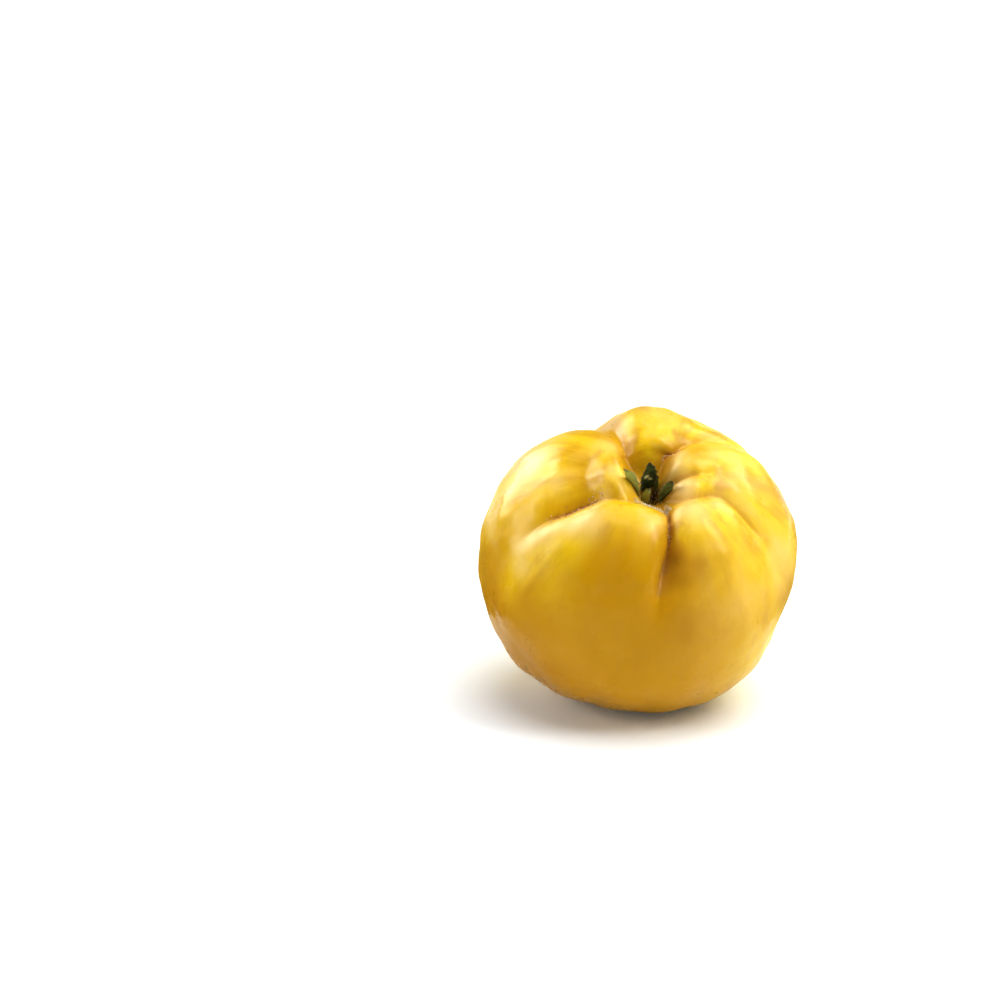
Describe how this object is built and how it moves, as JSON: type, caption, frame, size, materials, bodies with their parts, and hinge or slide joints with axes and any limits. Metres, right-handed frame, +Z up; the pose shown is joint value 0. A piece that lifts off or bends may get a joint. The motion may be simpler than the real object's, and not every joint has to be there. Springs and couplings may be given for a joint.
{
  "type": "quince",
  "caption": "Ripe whole quince with deep furrows round its dried calyx, a short stem stub below and a small flat spot to rest on.",
  "frame": {"origin": "on the flat spot that the fruit rests on, under the middle of the fruit", "axes": "+Z up from the surface it rests on, -Y towards the side that its calyx leans to, +X to the right seen from that side"},
  "size_m": [0.0915, 0.0888, 0.0839],
  "materials": {
    "skin": "satin",
    "stem_wood": "matte",
    "sepal": "matte",
    "dried_thread": "matte"
  },
  "bodies": {
    "root": {"fruit": "skin", "stem": "stem_wood", "sepal_left": "sepal", "sepal_front": "sepal", "sepal_right": "sepal", "sepal_back_right": "sepal", "sepal_back": "sepal", "style_1": "dried_thread", "style_2": "dried_thread", "style_3": "dried_thread", "style_4": "dried_thread", "style_5": "dried_thread", "stamen_01": "dried_thread", "stamen_02": "dried_thread", "stamen_03": "dried_thread", "stamen_04": "dried_thread", "stamen_05": "dried_thread", "stamen_06": "dried_thread", "stamen_07": "dried_thread", "stamen_08": "dried_thread", "stamen_09": "dried_thread", "stamen_10": "dried_thread", "stamen_11": "dried_thread", "stamen_12": "dried_thread"}
  },
  "joints": []
}
